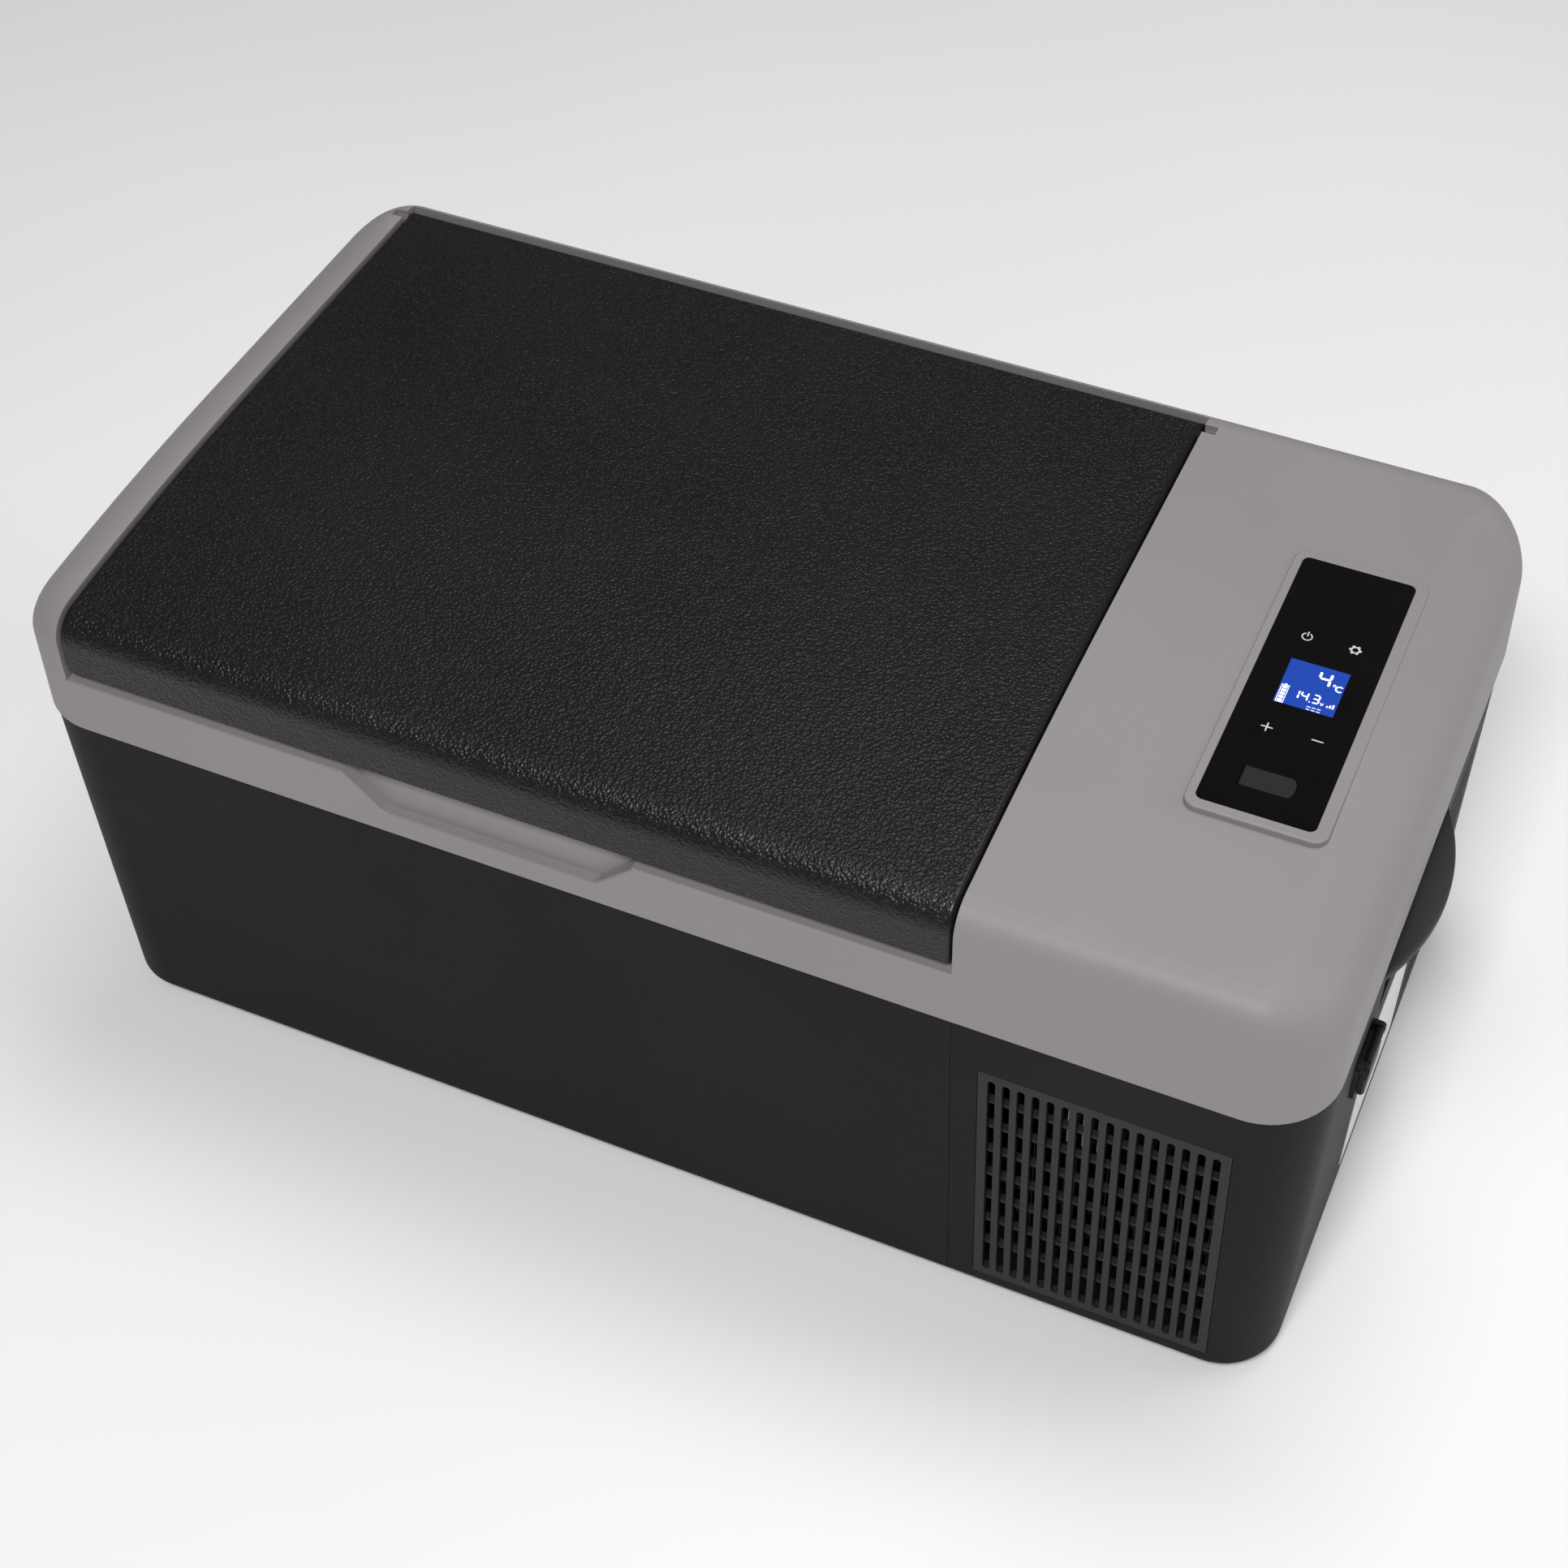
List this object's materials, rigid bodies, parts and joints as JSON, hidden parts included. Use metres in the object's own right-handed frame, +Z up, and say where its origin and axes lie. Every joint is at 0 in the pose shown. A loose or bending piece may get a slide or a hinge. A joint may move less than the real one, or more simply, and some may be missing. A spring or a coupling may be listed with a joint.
{
  "type": "compressor cooler fridge",
  "caption": "Portable compressor cooler: insulated cabinet with a wrap-over hinged lid, top control panel, end grips and a vented compressor bay.",
  "frame": {"origin": "centre of the outline on the surface that the rubber feet stand on", "axes": "+X along the length towards the compressor bay, +Y towards the lid's hinge, +Z up"},
  "size_m": [0.598, 0.312, 0.2617],
  "materials": {
    "charcoal_plastic": "fine moulded texture, matt",
    "grip_plastic": "matt",
    "warm_grey_plastic": "fine matt",
    "grained_black_plastic": "leather grain",
    "liner_plastic": "satin",
    "rigid_foam": "foamed",
    "soft_rubber": "matt",
    "steel": "bright plated",
    "light_lens": "frosted",
    "gloss_overlay": "gloss",
    "display_lens": "gloss",
    "circuit_board": "solder mask",
    "dark_plastic": "matt",
    "label_film": "matt film",
    "black_enamel": "semi-gloss enamel",
    "copper": "drawn copper",
    "aluminium": "mill finish",
    "red_wire": "satin insulation",
    "black_wire": "satin insulation",
    "yellow_wire": "satin insulation"
  },
  "bodies": {
    "cabinet": {"cabin_light": "light_lens", "cabinet_foam": "rigid_foam", "cabinet_shell": "charcoal_plastic", "capillary_pipe": "copper", "compressor_bay_shell": "charcoal_plastic", "compressor_bolts": "steel", "compressor_bracket": "steel", "compressor_can": "black_enamel", "compressor_mounts": "soft_rubber", "condenser_fins": "aluminium", "condenser_tube": "copper", "control_board": "circuit_board", "dc_socket": "dark_plastic", "discharge_pipe": "copper", "driver_case": "aluminium", "driver_heat_sink": "aluminium", "evaporator_tube": "copper", "fan_screws": "steel", "fan_shroud": "dark_plastic", "filter_drier": "copper", "foot_back_left": "soft_rubber", "foot_back_right": "soft_rubber", "foot_front_left": "soft_rubber", "foot_front_right": "soft_rubber", "foot_screws": "steel", "grille_back": "charcoal_plastic", "grille_end": "charcoal_plastic", "grille_front": "charcoal_plastic", "grip_left": "grip_plastic", "grip_right": "grip_plastic", "hinge_cradles": "warm_grey_plastic", "inner_liner": "liner_plastic", "lcd_module": "display_lens", "panel_glass": "gloss_overlay", "panel_pad": "warm_grey_plastic", "rating_label": "label_film", "signal_wire_yellow": "yellow_wire", "suction_pipe": "copper", "supply_wire_black": "black_wire", "supply_wire_red": "red_wire", "terminal_cover": "dark_plastic", "top_cover": "warm_grey_plastic", "usb_socket": "steel"},
    "lid": {"lid_shell": "grained_black_plastic", "lid_liner": "liner_plastic", "lid_foam": "rigid_foam", "lid_gasket": "soft_rubber", "hinge_pins": "steel"},
    "usb_flap": {"usb_cover": "dark_plastic"},
    "socket_cap": {"dc_socket_cap": "dark_plastic"},
    "fan": {"fan_rotor": "dark_plastic"}
  },
  "joints": [
    {"name": "lid_hinge", "type": "hinge", "parent": "cabinet", "child": "lid", "pos_m": [0, 0.138, 0.2524], "axis": [-1, 0, 0], "range_deg": [0, 95]},
    {"name": "usb_flap_hinge", "type": "hinge", "parent": "cabinet", "child": "usb_flap", "pos_m": [0.2192, -0.0535, 0.2607], "axis": [0, -1, 0], "range_deg": [0, 100]},
    {"name": "socket_cap_hinge", "type": "hinge", "parent": "cabinet", "child": "socket_cap", "pos_m": [0.28948, -0.066, 0.14239], "axis": [0, -1, 0], "range_deg": [0, 120]},
    {"name": "fan_spin", "type": "hinge", "parent": "cabinet", "child": "fan", "pos_m": [0.205, -0.094, 0.062], "axis": [0, 1, 0], "continuous": true}
  ]
}
